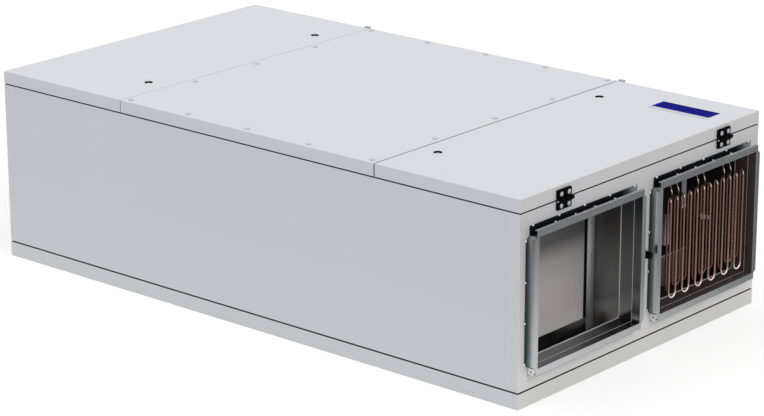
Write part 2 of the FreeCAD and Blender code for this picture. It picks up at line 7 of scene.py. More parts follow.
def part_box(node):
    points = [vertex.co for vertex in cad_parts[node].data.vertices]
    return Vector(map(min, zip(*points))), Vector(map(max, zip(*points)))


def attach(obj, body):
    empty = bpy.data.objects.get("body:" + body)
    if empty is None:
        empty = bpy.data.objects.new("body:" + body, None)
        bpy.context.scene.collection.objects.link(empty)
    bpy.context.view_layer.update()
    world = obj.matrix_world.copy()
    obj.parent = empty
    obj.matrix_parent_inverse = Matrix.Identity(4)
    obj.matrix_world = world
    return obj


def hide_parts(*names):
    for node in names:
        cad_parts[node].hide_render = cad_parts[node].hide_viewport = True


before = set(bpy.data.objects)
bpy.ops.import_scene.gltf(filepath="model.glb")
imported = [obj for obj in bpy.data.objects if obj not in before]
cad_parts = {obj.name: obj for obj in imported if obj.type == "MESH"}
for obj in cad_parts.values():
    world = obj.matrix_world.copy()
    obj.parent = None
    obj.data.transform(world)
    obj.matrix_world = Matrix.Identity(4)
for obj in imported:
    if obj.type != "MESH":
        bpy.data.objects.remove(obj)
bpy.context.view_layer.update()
scene = bpy.context.scene
scene.view_settings.view_transform = "Standard"

# Camera at the photograph's viewing angle, in metres and degrees.
CAMERA_PLACE = (5.747, -6.635, 3.066)
CAMERA_AZIMUTH = math.radians(40.69)
CAMERA_ELEVATION = math.radians(17.84)
CAMERA_ROLL = math.radians(-0.09)
camera = bpy.data.objects.new("camera", bpy.data.cameras.new("camera"))
camera.data.lens = 134.0
camera.data.sensor_width = 36.0
camera.data.clip_end = 200
camera.location = CAMERA_PLACE
level = math.cos(CAMERA_ELEVATION)
towards = Vector(
    (-math.sin(CAMERA_AZIMUTH) * level, math.cos(CAMERA_AZIMUTH) * level, -math.sin(CAMERA_ELEVATION))
)
camera.rotation_mode = "QUATERNION"
camera.rotation_quaternion = towards.to_track_quat("-Z", "Y") @ Quaternion((0, 0, 1), CAMERA_ROLL)
scene.collection.objects.link(camera)
scene.camera = camera

# Places read from the CAD nodes.
LID_LOW, LID_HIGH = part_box("right_lid")
MIDDLE_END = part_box("middle_lid")[1].x
PANEL_LOW, PANEL_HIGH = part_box("right_end_panel")
WALL_LOW, WALL_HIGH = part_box("front_wall")
BASE_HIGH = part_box("base_panel")[1]
RAIL_LOW, RAIL_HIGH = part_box("right_front_level_rails")
END = PANEL_HIGH.x
MOUTH = RAIL_HIGH.x
TOP = LID_HIGH.z
SIDE = LID_HIGH.y
DUCT_PLACE = -(RAIL_LOW.y + RAIL_HIGH.y) / 2
DUCT_LEVEL = (RAIL_LOW.z + RAIL_HIGH.z) / 2
HALF_WIDTH = 0.25
HALF_HEIGHT = 0.2
DUCT_LOW = DUCT_LEVEL - HALF_HEIGHT
DUCT_HIGH = DUCT_LEVEL + HALF_HEIGHT
PLATE_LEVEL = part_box("heater_plate")[0].z


def linear(red, green, blue):
    """An sRGB colour of 0 to 255 as the linear colour that the shaders take."""
    shares = np.array([red, green, blue]) / 255
    values = np.where(shares <= 0.04045, shares / 12.92, ((shares + 0.055) / 1.055) ** 2.4)
    return (*values.tolist(), 1.0)


# Shader building.


def add(tree, kind, **settings):
    """One node with its settings."""
    node = tree.nodes.new(kind)
    for key, value in settings.items():
        setattr(node, key, value)
    return node


def feed(tree, socket, source):
    """Link a socket from another, or write a plain value on it."""
    if isinstance(source, bpy.types.NodeSocket):
        tree.links.new(source, socket)
    else:
        socket.default_value = source


def maths(tree, operation, *sources, clamp=False):
    """A Math node's result."""
    node = add(tree, "ShaderNodeMath", operation=operation, use_clamp=clamp)
    for socket, source in zip(node.inputs, sources):
        feed(tree, socket, source)
    return node.outputs[0]


def times(tree, product, *others):
    """Values multiplied in turn."""
    for other in others:
        product = maths(tree, "MULTIPLY", product, other)
    return product


def absolute(tree, value):
    """A value without its sign."""
    return maths(tree, "ABSOLUTE", value)


def rest_of(tree, share):
    """What a share leaves of 1."""
    return maths(tree, "SUBTRACT", 1.0, share)


def parts_of(tree, vector):
    """A vector's x, y and z."""
    node = add(tree, "ShaderNodeSeparateXYZ")
    feed(tree, node.inputs[0], vector)
    return node.outputs


def vector_maths(tree, operation, *sources):
    """A Vector Math node's result."""
    node = add(tree, "ShaderNodeVectorMath", operation=operation)
    for socket, source in zip(node.inputs, sources):
        feed(tree, socket, source)
    return node.outputs[0]


def blend_colour(tree, share, first, second):
    """Two colours mixed by a share."""
    node = add(tree, "ShaderNodeMix", data_type="RGBA")
    feed(tree, node.inputs["Factor"], share)
    feed(tree, node.inputs[6], first)
    feed(tree, node.inputs[7], second)
    return node.outputs[2]


def spread(tree, value, low, high, to_low=0.0, to_high=1.0):
    """A value carried from one range to another, 0 to 1 unless given, and held at the ends."""
    node = add(tree, "ShaderNodeMapRange", clamp=True)
    for socket, source in zip(node.inputs, (value, low, high, to_low, to_high)):
        feed(tree, socket, source)
    return node.outputs[0]


def noise(tree, vector, scale, detail):
    """A noise texture's value."""
    node = add(tree, "ShaderNodeTexNoise")
    feed(tree, node.inputs["Vector"], vector)
    feed(tree, node.inputs["Scale"], scale)
    feed(tree, node.inputs["Detail"], detail)
    return node.outputs["Fac"]


def effect(name, inputs, outputs):
    """An empty node group with named sockets, and its two ends."""
    group = bpy.data.node_groups.new(name, "ShaderNodeTree")
    for label, kind, value in inputs:
        socket = group.interface.new_socket(name=label, in_out="INPUT", socket_type=kind)
        socket.default_value = value
    for label, kind in outputs:
        group.interface.new_socket(name=label, in_out="OUTPUT", socket_type=kind)
    return group, group.nodes.new("NodeGroupInput"), group.nodes.new("NodeGroupOutput")


def use(tree, group, **values):
    """Place an effect in a material, each named input given a value or a link."""
    node = add(tree, "ShaderNodeGroup", node_tree=group)
    for label, source in values.items():
        feed(tree, node.inputs[label.replace("_", " ").capitalize()], source)
    return node.outputs


COLOUR = "NodeSocketColor"
NUMBER = "NodeSocketFloat"
VECTOR = "NodeSocketVector"

# Region: 1 inside a box and 0 outside, with soft sides. Each side gives the distance inside it
# over the softness, held between 0 and 1, and the six are multiplied.
region, start, end = effect(
    "region",
    [
        ("Place", VECTOR, (0, 0, 0)),
        ("Low corner", VECTOR, (0, 0, 0)),
        ("High corner", VECTOR, (1, 1, 1)),
        ("Softness", NUMBER, 0.001),
    ],
    [("Mask", NUMBER)],
)
softness = vector_maths(region, "ADD", start.outputs["Softness"], (0, 0, 0))
shares = []
for far, near in (("Place", "Low corner"), ("High corner", "Place")):
    inside = vector_maths(region, "SUBTRACT", start.outputs[far], start.outputs[near])
    share = vector_maths(region, "DIVIDE", inside, softness)
    share = vector_maths(region, "MINIMUM", vector_maths(region, "MAXIMUM", share, (0, 0, 0)), (1, 1, 1))
    shares.append(share)
both = parts_of(region, vector_maths(region, "MULTIPLY", *shares))
feed(region, end.inputs["Mask"], times(region, *both))

# Powder coat: a fine orange-peel height, broad faint clouds in the tone, and a gloss that follows.
powder_coat, start, end = effect(
    "powder_coat",
    [
        ("Place", VECTOR, (0, 0, 0)),
        ("Tone", COLOUR, (0.5, 0.5, 0.5, 1)),
        ("Clouding", NUMBER, 0.03),
        ("Grain size", NUMBER, 900.0),
        ("Gloss", NUMBER, 0.42),
    ],
    [("Tone", COLOUR), ("Roughness", NUMBER), ("Height", NUMBER)],
)
peel = noise(powder_coat, start.outputs["Place"], start.outputs["Grain size"], 2.0)
clouds = noise(powder_coat, start.outputs["Place"], 2.3, 3.0)
swing = maths(powder_coat, "SUBTRACT", clouds, 0.5)
lighter = times(powder_coat, swing, start.outputs["Clouding"])
speckle = times(powder_coat, maths(powder_coat, "SUBTRACT", peel, 0.5), 0.02)
gain = maths(powder_coat, "ADD", maths(powder_coat, "ADD", lighter, speckle), 1.0)
feed(powder_coat, end.inputs["Tone"], vector_maths(powder_coat, "MULTIPLY", start.outputs["Tone"], gain))
rougher = times(powder_coat, swing, 0.12)
feed(powder_coat, end.inputs["Roughness"], maths(powder_coat, "ADD", start.outputs["Gloss"], rougher))
feed(powder_coat, end.inputs["Height"], peel)

# Rolled sheet: streaks along the rolling direction. Stretch multiplies the place before the noise,
# so the direction with the smallest number shows the longest streaks.
rolled_sheet, start, end = effect(
    "rolled_sheet",
    [
        ("Place", VECTOR, (0, 0, 0)),
        ("Stretch", VECTOR, (400, 400, 6)),
        ("Tone", COLOUR, (0.5, 0.5, 0.5, 1)),
        ("Streaking", NUMBER, 0.15),
        ("Gloss", NUMBER, 0.3),
    ],
    [("Tone", COLOUR), ("Roughness", NUMBER), ("Height", NUMBER)],
)
stretched = vector_maths(rolled_sheet, "MULTIPLY", start.outputs["Place"], start.outputs["Stretch"])
lines = noise(rolled_sheet, stretched, 1.0, 4.0)
spangle = noise(rolled_sheet, start.outputs["Place"], 60.0, 1.0)
mixed = maths(rolled_sheet, "ADD", times(rolled_sheet, lines, 0.7), times(rolled_sheet, spangle, 0.3))
swing = times(rolled_sheet, maths(rolled_sheet, "SUBTRACT", mixed, 0.5), start.outputs["Streaking"])
gain = maths(rolled_sheet, "ADD", swing, 1.0)
feed(rolled_sheet, end.inputs["Tone"], vector_maths(rolled_sheet, "MULTIPLY", start.outputs["Tone"], gain))
feed(rolled_sheet, end.inputs["Roughness"], maths(rolled_sheet, "ADD", start.outputs["Gloss"], swing))
feed(rolled_sheet, end.inputs["Height"], lines)

# Handling: faint soiling that gathers towards the floor, broken up by noise.
handling, start, end = effect(
    "handling",
    [
        ("Place", VECTOR, (0, 0, 0)),
        ("Reach", NUMBER, 0.1),
        ("Amount", NUMBER, 0.1),
    ],
    [("Mask", NUMBER)],
)
x, y, z = parts_of(handling, start.outputs["Place"])
nearness = spread(handling, z, 0.0, start.outputs["Reach"], 1.0, 0.0)
patches = spread(handling, noise(handling, start.outputs["Place"], 14.0, 4.0), 0.4, 0.7)
soiled = times(handling, nearness, patches, start.outputs["Amount"])
feed(handling, end.inputs["Mask"], soiled)


def finish_material(name, metallic=0.0, bump=0.1, bump_reach=0.0002, **plain):
    """A material with its Principled shader, a bump ready for a height, and the object's own place."""
    material = bpy.data.materials.new(name)
    material.use_nodes = True
    tree = material.node_tree
    shader = tree.nodes["Principled BSDF"]
    shader.inputs["Metallic"].default_value = metallic
    for label, value in plain.items():
        shader.inputs[label.replace("_", " ")].default_value = value
    relief = add(tree, "ShaderNodeBump")
    relief.inputs["Strength"].default_value = bump
    relief.inputs["Distance"].default_value = bump_reach
    tree.links.new(relief.outputs["Normal"], shader.inputs["Normal"])
    place = add(tree, "ShaderNodeTexCoord").outputs["Object"]
    return material, tree, shader, relief, place


def take(tree, shader, relief, surface):
    """Feed an effect's tone, roughness and height to the shader."""
    feed(tree, shader.inputs["Base Color"], surface["Tone"])
    feed(tree, shader.inputs["Roughness"], surface["Roughness"])
    feed(tree, relief.inputs["Height"], surface["Height"])


# Painted sheet: light grey powder coat outside, with painted light and shade on top of it: each face
# (long side, end, lid edge and top) has its own tone and height gradient for how light falls on it, and
# painted shade darkens the faces inside the case, the grooves below the lids and over the base, the gap
# beside the middle lid and a thin line below the duct frames' feet.
painted, tree, shader, relief, place = finish_material("painted_sheet", bump=0.06)
x, y, z = parts_of(tree, place)
# Painted light: the long side darkens upwards, and the end face is lighter low and darker high.
upwards = spread(tree, z, 0.02, 0.3)
side_light_tone = blend_colour(tree, upwards, linear(223, 226, 230), linear(217, 221, 227))
upwards = spread(tree, z, 0.1, 0.57)
end_light_tone = blend_colour(tree, upwards, linear(237, 237, 236), linear(213, 213, 215))
lid_edge = spread(tree, z, LID_LOW.z - 0.002, LID_LOW.z - 0.001)
end_light_tone = blend_colour(tree, lid_edge, end_light_tone, linear(218, 217, 219))
at_end = spread(tree, absolute(tree, x), END - 0.0022, END - 0.0014)
paint = blend_colour(tree, at_end, side_light_tone, end_light_tone)
on_top = spread(tree, z, TOP - 0.0009, TOP - 0.0003)
paint = blend_colour(tree, on_top, paint, linear(223, 226, 232))
# Painted shade: a grey strip along the gap between the middle lid and each end lid.
split_shade = spread(tree, x, MIDDLE_END - 0.0012, MIDDLE_END - 0.0010)
split_shade = times(tree, split_shade, spread(tree, x, LID_LOW.x + 0.0002, LID_LOW.x + 0.0003, 1.0, 0.0))
split_shade = times(tree, split_shade, spread(tree, z, LID_LOW.z + 0.001, LID_LOW.z + 0.002))
paint = blend_colour(tree, split_shade, paint, linear(150, 151, 153))
coat = use(tree, powder_coat, place=place, tone=paint)
# Painted shade: a dark tone on the faces inside the case, which the light barely reaches.
inside_shade = use(
    tree,
    region,
    place=place,
    low_corner=(-PANEL_LOW.x - 0.0005, WALL_LOW.y + 0.0455, 0.0485),
    high_corner=(PANEL_LOW.x + 0.0005, -WALL_LOW.y - 0.0455, LID_LOW.z - 0.001),
    softness=0.0004,
)["Mask"]
# Painted shade: near-black grooves below the lids and over the base.
under_lid = spread(tree, z, WALL_HIGH.z - 0.0004, WALL_HIGH.z - 0.0002)
under_lid = times(tree, under_lid, spread(tree, z, LID_LOW.z + 0.0003, LID_LOW.z + 0.0006, 1.0, 0.0))
beside_end = spread(tree, absolute(tree, x), PANEL_LOW.x, PANEL_LOW.x + 0.001)
aside = absolute(tree, y)
beside_wall = spread(tree, aside, SIDE - 0.047, SIDE - 0.046)
lid_rim = maths(tree, "MAXIMUM", beside_end, beside_wall)
lid_inside = times(tree, under_lid, rest_of(tree, lid_rim))
under_lid = times(tree, under_lid, lid_rim)
over_base = spread(tree, z, BASE_HIGH.z - 0.0015, BASE_HIGH.z - 0.0012)
over_base = times(tree, over_base, spread(tree, z, WALL_LOW.z + 0.0008, WALL_LOW.z + 0.0011, 1.0, 0.0))
groove_shade = maths(tree, "ADD", under_lid, over_base, clamp=True)
# Painted shadow: a thin grey line on the end panels below the duct frames' feet.
foot_shadow = spread(tree, z, 0.0798, 0.0800)
foot_shadow = times(tree, foot_shadow, spread(tree, z, 0.0815, 0.0817, 1.0, 0.0))
foot_shadow = times(tree, foot_shadow, spread(tree, aside, -RAIL_HIGH.y, -RAIL_HIGH.y + 0.001))
foot_shadow = times(tree, foot_shadow, spread(tree, aside, -RAIL_LOW.y - 0.001, -RAIL_LOW.y, 1.0, 0.0))
foot_shadow = times(tree, foot_shadow, at_end)
soil = use(tree, handling, place=place, reach=0.05, amount=0.05)["Mask"]
outside = blend_colour(tree, soil, coat["Tone"], linear(150, 146, 140))
outside = blend_colour(tree, foot_shadow, outside, linear(118, 118, 119))
inside = blend_colour(tree, inside_shade, outside, linear(46, 44, 44))
inside = blend_colour(tree, lid_inside, inside, linear(104, 103, 103))
feed(tree, shader.inputs["Base Color"], blend_colour(tree, groove_shade, inside, linear(14, 14, 15)))
feed(tree, shader.inputs["Roughness"], coat["Roughness"])
feed(tree, relief.inputs["Height"], coat["Height"])

# Galvanised rails, with painted light throughout: the lips are painted bright near the floor and dim
# higher up and towards the back, the far lips get painted shade, faces that look up or sideways at the back
# get a painted highlight, and the channel between foot and lip is dark with painted shade, most of all
# along the top rails, lifting towards the opening and at the top rails' far ends as painted reflection.
galvanised, tree, shader, relief, place = finish_material("galvanised_rail", metallic=1.0, bump=0.05)
x, y, z = parts_of(tree, place)
height = spread(tree, z, RAIL_LOW.z + 0.01, RAIL_HIGH.z - 0.01)
length = absolute(tree, x)
backward = spread(tree, y, -0.45, -0.06)
low_share = spread(tree, y, 0.03, 0.50, 0.40, 1.0)
backward = times(tree, backward, spread(tree, z, 0.1, 0.3, low_share, 1.0))
lip_tone = blend_colour(tree, height, linear(190, 194, 196), linear(104, 108, 110))
top = spread(tree, z, DUCT_LEVEL + 0.199, DUCT_LEVEL + 0.2)
back_tone = blend_colour(tree, top, linear(112, 116, 118), linear(98, 102, 104))
lip_tone = blend_colour(tree, backward, lip_tone, back_tone)
far_lip = spread(tree, y, 0.553, 0.557)
lip_tone = blend_colour(tree, far_lip, lip_tone, linear(88, 91, 93))
# Painted highlight on faces turned upwards, and on faces turned to the front side along the back ducts.
facing = parts_of(tree, add(tree, "ShaderNodeNewGeometry").outputs["Normal"])
skyward = spread(tree, facing[2], 0.7, 0.9)
lip_tone = blend_colour(tree, skyward, lip_tone, linear(196, 199, 201))
sideward = spread(tree, facing[1], -0.9, -0.7, 1.0, 0.0)
at_back = spread(tree, y, 0.0, 0.02)
heater_reflection = times(tree, at_back, spread(tree, x, 0.0, 0.02))
lip_tone = blend_colour(tree, times(tree, sideward, at_back), lip_tone, linear(208, 213, 216))
# Painted light and shade in the channel: the side channels lighten towards the opening to undo deep shade,
# and the top channels are near black with a painted reflection at their far end.
across = absolute(tree, maths(tree, "SUBTRACT", absolute(tree, y), DUCT_PLACE))
upright = absolute(tree, maths(tree, "SUBTRACT", z, DUCT_LEVEL))
nearer = spread(tree, across, HALF_WIDTH + 0.022, HALF_WIDTH + 0.004)
nearer = maths(tree, "POWER", nearer, 1.85)
side_channel = blend_colour(tree, nearer, linear(66, 70, 76), linear(200, 206, 212))
along = maths(tree, "FRACT", maths(tree, "DIVIDE", maths(tree, "ADD", y, 2 * DUCT_PLACE), 2 * DUCT_PLACE))
top_channel = blend_colour(tree, spread(tree, along, 0.80, 0.93), linear(22, 23, 25), linear(120, 123, 125))
channel_tone = blend_colour(tree, top, side_channel, top_channel)
channel = spread(tree, length, MOUTH - 0.0125, MOUTH - 0.0112, 1.0, 0.0)
mouth_face = times(
    tree,
    spread(tree, across, HALF_WIDTH + 0.0003, HALF_WIDTH + 0.0006, 1.0, 0.0),
    spread(tree, upright, HALF_HEIGHT + 0.0003, HALF_HEIGHT + 0.0006, 1.0, 0.0),
    spread(tree, length, MOUTH - 0.0015, MOUTH - 0.0005, 1.0, 0.0),
)
# Painted light on the faces round the mouth: dimmer higher up, painted shade near the floor on the right, and
# a painted brown reflection of the heater tubes on the heater side.
mouth_tone = blend_colour(tree, height, linear(142, 145, 146), linear(106, 109, 110))
right_corner = spread(tree, y, -0.22, -0.165)
near_floor = spread(tree, z, DUCT_LOW + 0.06, DUCT_LOW)
mouth_tone = blend_colour(tree, times(tree, right_corner, near_floor), mouth_tone, linear(66, 66, 67))
mouth_tone = blend_colour(tree, heater_reflection, mouth_tone, linear(89, 78, 75))
# Painted shade and a painted bright band on the faces beside the divider, with painted shadow at their foot.
beside = times(tree, spread(tree, y, -0.0535, -0.0530), rest_of(tree, at_back))
mouth_tone = blend_colour(tree, times(tree, beside, 0.2), mouth_tone, linear(10, 10, 10))
beside = times(tree, beside, spread(tree, z, 0.235, 0.205))
corner_tone = blend_colour(tree, spread(tree, z, 0.153, 0.190), linear(78, 78, 79), linear(118, 119, 120))
corner_tone = blend_colour(tree, spread(tree, z, 0.150, 0.134), corner_tone, linear(160, 160, 161))
corner_tone = blend_colour(tree, spread(tree, z, 0.1300, 0.1255), corner_tone, linear(40, 40, 41))
mouth_tone = blend_colour(tree, beside, mouth_tone, corner_tone)
rail_tone = blend_colour(tree, channel, lip_tone, channel_tone)
rail_tone = blend_colour(tree, mouth_face, rail_tone, mouth_tone)
polished = times(tree, mouth_face, rest_of(tree, maths(tree, "MAXIMUM", heater_reflection, beside)))
dull = times(tree, maths(tree, "MAXIMUM", channel, mouth_face), rest_of(tree, polished))
feed(tree, shader.inputs["Metallic"], spread(tree, dull, 0.0, 1.0, 1.0, 0.2))
sheet = use(tree, rolled_sheet, place=place, stretch=(90, 9, 9), tone=rail_tone, streaking=0.12, gloss=0.26)
take(tree, shader, relief, sheet)

# Duct sleeves: brushed sheet that mirrors the filter and the tubes softly, with painted light: dimmer
# higher up, a painted slanting shadow on the divider side, painted shade along the lower edge, and a
# painted brown reflection of the tubes on the heater side.
sleeve_sheet, tree, shader, relief, place = finish_material("sleeve_sheet", bump=0.08)
x, y, z = parts_of(tree, place)
heater_reflection = spread(tree, y, 0.0, 0.02)
heater_reflection = times(tree, heater_reflection, spread(tree, x, 0.0, 0.02))
upwards = spread(tree, z, 0.13, 0.40)
sleeve_tone = blend_colour(tree, upwards, linear(144, 147, 148), linear(104, 107, 108))
depth = maths(tree, "SUBTRACT", absolute(tree, x), PANEL_LOW.x)
slant = maths(tree, "SUBTRACT", z, times(tree, depth, 0.64))
shadow = spread(tree, slant, 0.121, 0.135, 1.0, 0.0)
corner_tone = blend_colour(tree, shadow, linear(172, 173, 173), linear(42, 42, 43))
beside = spread(tree, y, -0.0535, -0.0530)
beside = times(tree, beside, spread(tree, z, 0.215, 0.145))
sleeve_tone = blend_colour(tree, beside, sleeve_tone, corner_tone)
under = spread(tree, z, DUCT_LOW + 0.0003, DUCT_LOW + 0.0006, 1.0, 0.0)
under = times(tree, under, spread(tree, y, -0.185, -0.115))
sleeve_tone = blend_colour(tree, under, sleeve_tone, linear(40, 40, 40))
sleeve_tone = blend_colour(tree, heater_reflection, sleeve_tone, linear(89, 78, 75))
dull = maths(tree, "MAXIMUM", heater_reflection, beside)
feed(tree, shader.inputs["Metallic"], spread(tree, dull, 0.0, 1.0, 0.92, 0.25))
sheet = use(
    tree, rolled_sheet, place=place, stretch=(12, 140, 140), tone=sleeve_tone, streaking=0.2, gloss=0.34
)
take(tree, shader, relief, sheet)

# Inner sheet: brushed walls inside the case, with painted light and shade in bands that grow dark upwards,
# and a painted pool of light low down near the duct openings.
inner_sheet, tree, shader, relief, place = finish_material("inner_sheet", bump=0.08)
x, y, z = parts_of(tree, place)
inner_tone = blend_colour(tree, spread(tree, z, 0.083, 0.105), linear(146, 144, 143), linear(188, 186, 185))
inner_tone = blend_colour(tree, spread(tree, z, 0.12, 0.15), inner_tone, linear(144, 140, 139))
inner_tone = blend_colour(tree, spread(tree, z, 0.23, 0.37), inner_tone, linear(108, 105, 104))
lit = spread(tree, absolute(tree, x), 0.94, 1.0)
lit = times(tree, lit, spread(tree, z, 0.168, 0.100))
inner_tone = blend_colour(tree, lit, inner_tone, linear(250, 249, 248))
feed(tree, shader.inputs["Metallic"], spread(tree, lit, 0.0, 1.0, 0.85, 0.0))
sheet = use(
    tree, rolled_sheet, place=place, stretch=(14, 150, 14), tone=inner_tone, streaking=0.16, gloss=0.34
)
take(tree, shader, relief, sheet)

# Fan wall: dull brown-grey below its ledge, and nearly black above it as painted shade of the dark chamber.
fan_sheet, tree, shader, relief, place = finish_material("fan_sheet", metallic=0.2, bump=0.08)
x, y, z = parts_of(tree, place)
above = spread(tree, z, 0.149, 0.152)
fan_tone = blend_colour(tree, above, linear(140, 124, 118), linear(26, 22, 21))
sheet = use(tree, rolled_sheet, place=place, stretch=(14, 150, 14), tone=fan_tone, streaking=0.2, gloss=0.45)
take(tree, shader, relief, sheet)

# Box on the fan wall: pale sheet, with painted shade darkening it towards its top.
box_sheet, tree, shader, relief, place = finish_material("box_sheet", bump=0.06)
x, y, z = parts_of(tree, place)
upper_shade = spread(tree, z, 0.2, 0.285)
box_tone = blend_colour(tree, upper_shade, linear(252, 248, 245), linear(150, 145, 143))
coat = use(tree, powder_coat, place=place, tone=box_tone, clouding=0.05, gloss=0.5)
take(tree, shader, relief, coat)

# Guide post and rail: galvanised post, bright with painted light that grows upwards and with painted shade
# along its right edge, and a black rail under the filter with a lighter grey wedge.
guide_sheet, tree, shader, relief, place = finish_material("guide_sheet", bump=0.08)
x, y, z = parts_of(tree, place)
post = spread(tree, y, -0.0477, -0.0470)
right_edge = spread(tree, y, -0.034, -0.012)
brighter = spread(tree, z, 0.09, 0.32)
post_tone = blend_colour(tree, brighter, linear(150, 150, 152), linear(247, 252, 255))
post_tone = blend_colour(tree, right_edge, post_tone, linear(158, 157, 160))
shaded = spread(tree, y, -0.19, -0.07)
shaded = times(tree, shaded, spread(tree, z, 0.060, 0.080))
shaded = times(tree, shaded, spread(tree, z, 0.0895, 0.0910, 1.0, 0.0))
rail_tone = blend_colour(tree, shaded, linear(34, 33, 33), linear(118, 116, 116))
guide_tone = blend_colour(tree, post, rail_tone, post_tone)
sheet = use(tree, rolled_sheet, place=place, stretch=(90, 90, 9), tone=guide_tone, streaking=0.18, gloss=0.4)
take(tree, shader, relief, sheet)

# Filter face: warm grey with faint upright streaks, lighter low down and darker above as a painted
# shadow of the opening's head, with a painted shade strip at its edge by the post.
filter_face, tree, shader, relief, place = finish_material("filter_face", bump=0.2, bump_reach=0.0006)
x, y, z = parts_of(tree, place)
gently = spread(tree, z, 0.12, 0.31)
lowest = spread(tree, z, 0.09, 0.15)
low_tone = blend_colour(tree, lowest, linear(255, 250, 249), linear(233, 225, 224))
face_tone = blend_colour(tree, gently, low_tone, linear(192, 187, 187))
darker = spread(tree, z, 0.312, 0.372)
face_tone = blend_colour(tree, darker, face_tone, linear(107, 106, 108))
rim = spread(tree, y, -0.0570, -0.0562)
face_tone = blend_colour(tree, rim, face_tone, linear(20, 20, 22))
sheet = use(tree, rolled_sheet, place=place, stretch=(240, 240, 3), tone=face_tone, streaking=0.08, gloss=0.5)
take(tree, shader, relief, sheet)

def plain_coat(name, tone, clouding, grain_size, gloss, **finish):
    """A small part's coat in one tone."""
    material, tree, shader, relief, place = finish_material(name, **finish)
    coat = use(
        tree, powder_coat, place=place, tone=tone, clouding=clouding, grain_size=grain_size, gloss=gloss
    )
    take(tree, shader, relief, coat)
    return material


def plain_sheet(name, metallic, stretch, tone, streaking, gloss):
    """A small part's rolled sheet in one tone."""
    material, tree, shader, relief, place = finish_material(name, metallic=metallic, bump=0.05)
    sheet = use(tree, rolled_sheet, place=place, stretch=stretch, tone=tone, streaking=streaking, gloss=gloss)
    take(tree, shader, relief, sheet)
    return material


# Seal rubber: matte black with a fine grain.
seal_rubber = plain_coat(
    "seal_rubber", linear(14, 14, 15), 0.3, 500.0, 0.85, bump=0.3, bump_reach=0.0004, Specular_IOR_Level=0.1
)

# Black plastic of the hinges, pins and gland.
black_plastic = plain_coat(
    "black_plastic", linear(7, 7, 8), 0.2, 1400.0, 0.5, bump=0.15, Specular_IOR_Level=0.04, IOR=1.25
)

# Lock: black inside its collar, with a light metal floor, stud and outer wall.
lock_finish, tree, shader, relief, place = finish_material(
    "lock_finish", bump=0.1, Specular_IOR_Level=0.03, IOR=1.2
)
lock_low, lock_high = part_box("right_lid_locks")
lock_x = (lock_low.x + lock_high.x) / 2
lock_y = lock_high.y - 0.014
x, y, z = parts_of(tree, place)
off_x = maths(tree, "SUBTRACT", absolute(tree, x), lock_x)
off_y = maths(tree, "SUBTRACT", absolute(tree, y), lock_y)
reach = maths(tree, "SQRT", maths(tree, "ADD", times(tree, off_x, off_x), times(tree, off_y, off_y)))
stud = spread(tree, reach, 0.0130, 0.0131, 1.0, 0.0)
stud = times(tree, stud, spread(tree, z, TOP - 0.0008, TOP - 0.0005, 1.0, 0.0))
outer_wall = spread(tree, reach, 0.01385, 0.0139)
outer_wall = times(tree, outer_wall, spread(tree, z, TOP + 0.0022, TOP + 0.0025, 1.0, 0.0))
stud = maths(tree, "MAXIMUM", stud, outer_wall)
coat = use(tree, powder_coat, place=place, tone=linear(6, 6, 7), grain_size=1200.0, gloss=0.6)
feed(tree, shader.inputs["Base Color"], blend_colour(tree, stud, coat["Tone"], linear(252, 253, 254)))
feed(tree, shader.inputs["Roughness"], coat["Roughness"])
feed(tree, relief.inputs["Height"], coat["Height"])

# Heater tube: heat-tinted metal, copper brown on the straight legs, with a painted highlight on each bend,
# and painted shade that dims the middle and rear rows and the upper legs.
heater_tube, tree, shader, relief, place = finish_material("heater_tube", metallic=0.8, bump=0.03)
x, y, z = parts_of(tree, place)
top_bend = spread(tree, z, 0.4560, 0.4640)
top_bend = times(tree, top_bend, spread(tree, z, 0.4705, 0.4735, 1.0, 0.0))
low_bend = spread(tree, z, 0.152, 0.172, 1.0, 0.0)
lead = spread(tree, z, 0.4715, 0.4795)
to_middle = spread(tree, x, 1.0900, 1.0720)
to_rear = spread(tree, x, 1.0620, 1.0450)
upper = spread(tree, z, 0.19, 0.33)
tube_tone = blend_colour(tree, upper, linear(149, 113, 102), linear(124, 94, 85))
tube_tone = blend_colour(tree, to_middle, tube_tone, linear(112, 80, 70))
tube_tone = blend_colour(tree, to_rear, tube_tone, linear(86, 58, 50))
tube_tone = blend_colour(tree, lead, tube_tone, linear(128, 106, 99))
bend_highlight = maths(tree, "ADD", top_bend, low_bend, clamp=True)
tube_tone = blend_colour(tree, bend_highlight, tube_tone, linear(238, 212, 203))
sheet = use(tree, rolled_sheet, place=place, stretch=(30, 30, 14), tone=tube_tone, streaking=0.16, gloss=0.2)
take(tree, shader, relief, sheet)

# Bright screws and pin ends.
bright_zinc = plain_sheet("bright_zinc", 1.0, (300, 300, 300), linear(204, 207, 208), 0.2, 0.28)

# Folded edges, foot borders, clips and bulbs: bright sheet; on the sleeves' folded edges the bright tone is a
# painted highlight.
edge_sheet = plain_sheet("edge_sheet", 0.2, (60, 60, 60), linear(226, 226, 226), 0.15, 0.35)

# Hanger strap of the heater: dull sheet.
strap_sheet = plain_sheet("strap_sheet", 0.2, (60, 60, 9), linear(170, 170, 172), 0.2, 0.4)

# Hinge screws, washers and catches: grey zinc with a satin face.
grey_zinc = plain_sheet("grey_zinc", 0.6, (300, 300, 300), linear(176, 178, 180), 0.2, 0.36)

# Bare label plate: blue enamel with a grey strip along its front side.
label_blue = plain_coat(
    "label_blue", linear(3, 8, 134), 0.08, 700.0, 0.35, bump=0.03, Specular_IOR_Level=0.05, IOR=1.1
)
label_grey = plain_coat(
    "label_grey", linear(205, 208, 214), 0.05, 700.0, 0.3, bump=0.03, Specular_IOR_Level=0.3
)

